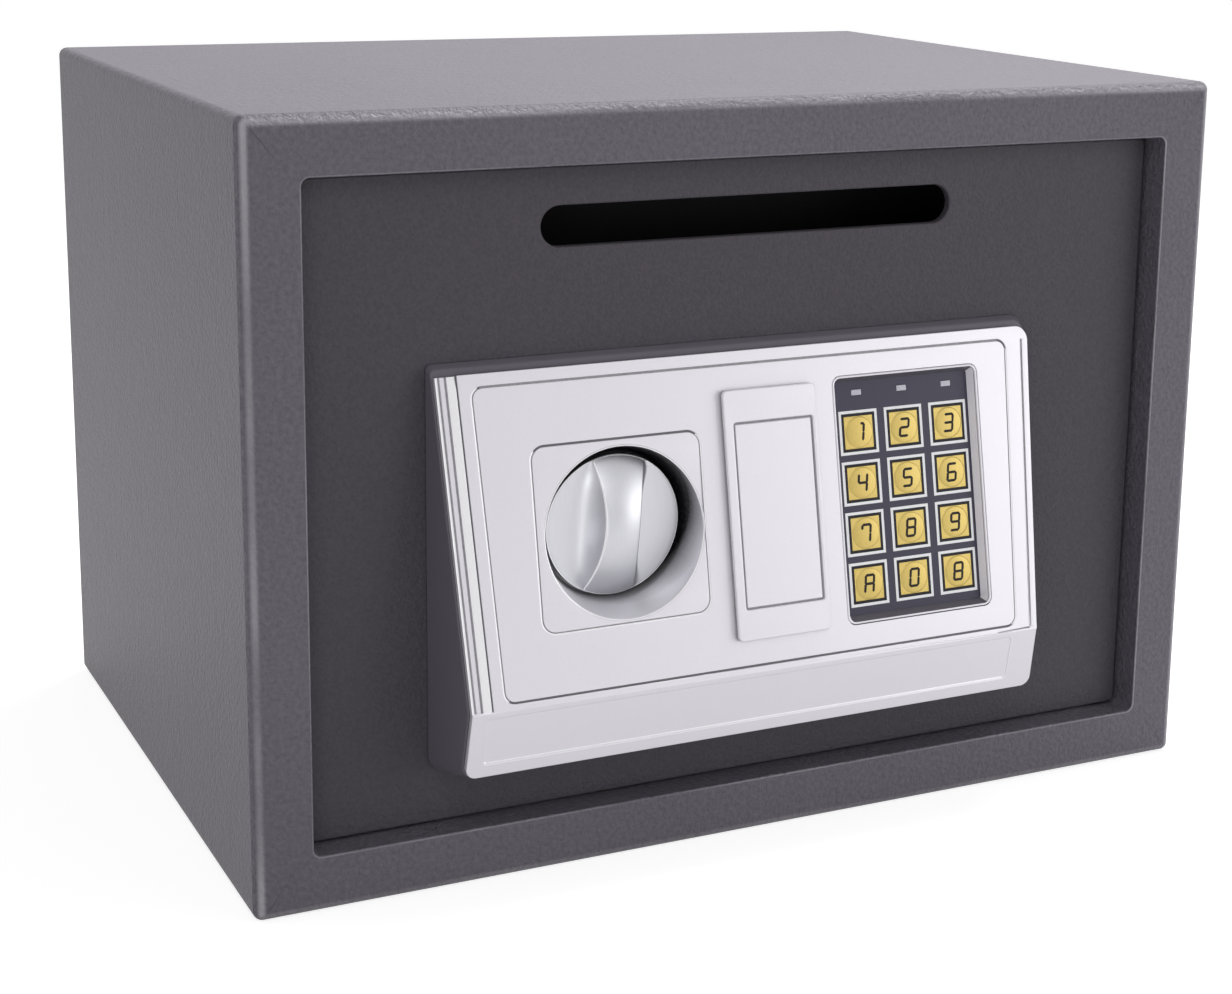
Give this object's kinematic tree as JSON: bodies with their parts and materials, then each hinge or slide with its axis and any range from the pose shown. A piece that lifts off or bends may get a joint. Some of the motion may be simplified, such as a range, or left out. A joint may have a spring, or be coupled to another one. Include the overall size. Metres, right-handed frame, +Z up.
{
  "type": "deposit slot safe",
  "caption": "Small steel safe with a deposit slot in its hinged door, a keypad lock panel, a turn knob that throws two bolts, and a cover over the emergency key lock.",
  "frame": {"origin": "centre of the cabinet's underside", "axes": "+Z up, -Y out of the door's front, +X towards the hinge side"},
  "size_m": [0.35, 0.2679, 0.25],
  "materials": {
    "cabinet_paint": "fine-textured grey powder coat",
    "door_paint": "fine-textured dark grey powder coat",
    "grey_plastic": "matt moulded",
    "silver_plastic": "satin silver paint",
    "satin_chrome": "satin plated",
    "navy_plastic": "printed film",
    "gold_plastic": "gold printed",
    "lens_plastic": "diffusing",
    "board_laminate": "circuit board",
    "zinc_steel": "zinc plated",
    "bolt_steel": "turned and plated",
    "brass_metal": "machined",
    "black_plastic": "matt moulded",
    "red_plastic": "moulded",
    "cell_wrap": "plain film wrap"
  },
  "bodies": {
    "cabinet": {"cabinet_shell": "cabinet_paint", "back_panel": "cabinet_paint"},
    "door": {"door_plate": "door_paint", "slot_baffle": "door_paint", "hinge_block_top": "door_paint", "hinge_block_bottom": "door_paint", "hinge_pin_top": "zinc_steel", "hinge_pin_bottom": "zinc_steel", "panel_housing": "grey_plastic", "panel_face": "silver_plastic", "lock_cylinder": "zinc_steel", "lock_nut": "zinc_steel", "shaft_bush": "brass_metal", "guide_stud_upper": "zinc_steel", "guide_stud_lower": "zinc_steel", "bolt_guide": "zinc_steel", "solenoid_body": "black_plastic", "mechanism_cover": "door_paint", "battery_box": "black_plastic", "battery_1": "cell_wrap", "battery_2": "cell_wrap", "battery_3": "cell_wrap", "battery_4": "cell_wrap", "reset_switch": "black_plastic", "cover_screw_1": "zinc_steel", "cover_screw_2": "zinc_steel", "cover_screw_3": "zinc_steel", "cover_screw_4": "zinc_steel", "keypad_plate": "navy_plastic", "keypad_board": "board_laminate", "status_lens_left": "lens_plastic", "status_lens_middle": "lens_plastic", "status_lens_right": "lens_plastic"},
    "knob": {"knob": "satin_chrome", "knob_shaft": "zinc_steel", "shaft_crank": "zinc_steel"},
    "bolt_carriage": {"bolt_plate": "zinc_steel", "bolt_upper": "bolt_steel", "bolt_lower": "bolt_steel", "bolt_nut_upper": "zinc_steel", "bolt_nut_lower": "zinc_steel"},
    "plunger": {"solenoid_plunger": "zinc_steel"},
    "lock_plug": {"lock_plug": "brass_metal"},
    "key_cover": {"key_cover": "silver_plastic"},
    "battery_lid": {"battery_lid": "black_plastic"},
    "reset_button": {"reset_button": "red_plastic"},
    "key_1": {"key_1": "gold_plastic"},
    "key_2": {"key_2": "gold_plastic"},
    "key_3": {"key_3": "gold_plastic"},
    "key_4": {"key_4": "gold_plastic"},
    "key_5": {"key_5": "gold_plastic"},
    "key_6": {"key_6": "gold_plastic"},
    "key_7": {"key_7": "gold_plastic"},
    "key_8": {"key_8": "gold_plastic"},
    "key_9": {"key_9": "gold_plastic"},
    "key_a": {"key_a": "gold_plastic"},
    "key_0": {"key_0": "gold_plastic"},
    "key_b": {"key_b": "gold_plastic"}
  },
  "joints": [
    {"name": "door_hinge", "type": "hinge", "parent": "cabinet", "child": "door", "pos_m": [0.14, -0.11, 0.125], "axis": [0, 0, 1], "range_deg": [0, 100]},
    {"name": "knob_turn", "type": "hinge", "parent": "door", "child": "knob", "pos_m": [-0.0544, -0.116, 0.11415], "axis": [0, -1, 0], "range_deg": [0, 90]},
    {"name": "bolt_throw", "type": "slide", "parent": "door", "child": "bolt_carriage", "axis": [-1, 0, 0], "range_m": [0, 0.018]},
    {"name": "solenoid_pull", "type": "slide", "parent": "door", "child": "plunger", "axis": [0, 0, 1], "range_m": [0, 0.005], "stiffness_N_per_m": 60, "springref_m": -0.01},
    {"name": "key_turn", "type": "hinge", "parent": "door", "child": "lock_plug", "pos_m": [-0.0007, -0.116, 0.118], "axis": [0, -1, 0], "range_deg": [0, 90]},
    {"name": "key_cover_lift", "type": "slide", "parent": "door", "child": "key_cover", "axis": [0, -0.9807, 0.1954], "range_m": [0, 0.02]},
    {"name": "battery_lid_lift", "type": "slide", "parent": "door", "child": "battery_lid", "axis": [0, 1, 0], "range_m": [0, 0.02]},
    {"name": "reset_press", "type": "slide", "parent": "door", "child": "reset_button", "axis": [0, -1, 0], "range_m": [0, 0.0015], "stiffness_N_per_m": 800, "springref_m": -0.0005},
    {"name": "key_1_press", "type": "slide", "parent": "door", "child": "key_1", "axis": [0, 0.9807, -0.1954], "range_m": [0, 0.0006], "stiffness_N_per_m": 1500, "springref_m": -0.0003},
    {"name": "key_2_press", "type": "slide", "parent": "door", "child": "key_2", "axis": [0, 0.9807, -0.1954], "range_m": [0, 0.0006], "stiffness_N_per_m": 1500, "springref_m": -0.0003},
    {"name": "key_3_press", "type": "slide", "parent": "door", "child": "key_3", "axis": [0, 0.9807, -0.1954], "range_m": [0, 0.0006], "stiffness_N_per_m": 1500, "springref_m": -0.0003},
    {"name": "key_4_press", "type": "slide", "parent": "door", "child": "key_4", "axis": [0, 0.9807, -0.1954], "range_m": [0, 0.0006], "stiffness_N_per_m": 1500, "springref_m": -0.0003},
    {"name": "key_5_press", "type": "slide", "parent": "door", "child": "key_5", "axis": [0, 0.9807, -0.1954], "range_m": [0, 0.0006], "stiffness_N_per_m": 1500, "springref_m": -0.0003},
    {"name": "key_6_press", "type": "slide", "parent": "door", "child": "key_6", "axis": [0, 0.9807, -0.1954], "range_m": [0, 0.0006], "stiffness_N_per_m": 1500, "springref_m": -0.0003},
    {"name": "key_7_press", "type": "slide", "parent": "door", "child": "key_7", "axis": [0, 0.9807, -0.1954], "range_m": [0, 0.0006], "stiffness_N_per_m": 1500, "springref_m": -0.0003},
    {"name": "key_8_press", "type": "slide", "parent": "door", "child": "key_8", "axis": [0, 0.9807, -0.1954], "range_m": [0, 0.0006], "stiffness_N_per_m": 1500, "springref_m": -0.0003},
    {"name": "key_9_press", "type": "slide", "parent": "door", "child": "key_9", "axis": [0, 0.9807, -0.1954], "range_m": [0, 0.0006], "stiffness_N_per_m": 1500, "springref_m": -0.0003},
    {"name": "key_a_press", "type": "slide", "parent": "door", "child": "key_a", "axis": [0, 0.9807, -0.1954], "range_m": [0, 0.0006], "stiffness_N_per_m": 1500, "springref_m": -0.0003},
    {"name": "key_0_press", "type": "slide", "parent": "door", "child": "key_0", "axis": [0, 0.9807, -0.1954], "range_m": [0, 0.0006], "stiffness_N_per_m": 1500, "springref_m": -0.0003},
    {"name": "key_b_press", "type": "slide", "parent": "door", "child": "key_b", "axis": [0, 0.9807, -0.1954], "range_m": [0, 0.0006], "stiffness_N_per_m": 1500, "springref_m": -0.0003}
  ],
  "couplings": [
    {"joint": "bolt_throw", "follows": "knob_turn", "m_per_rad": 0.011459}
  ]
}
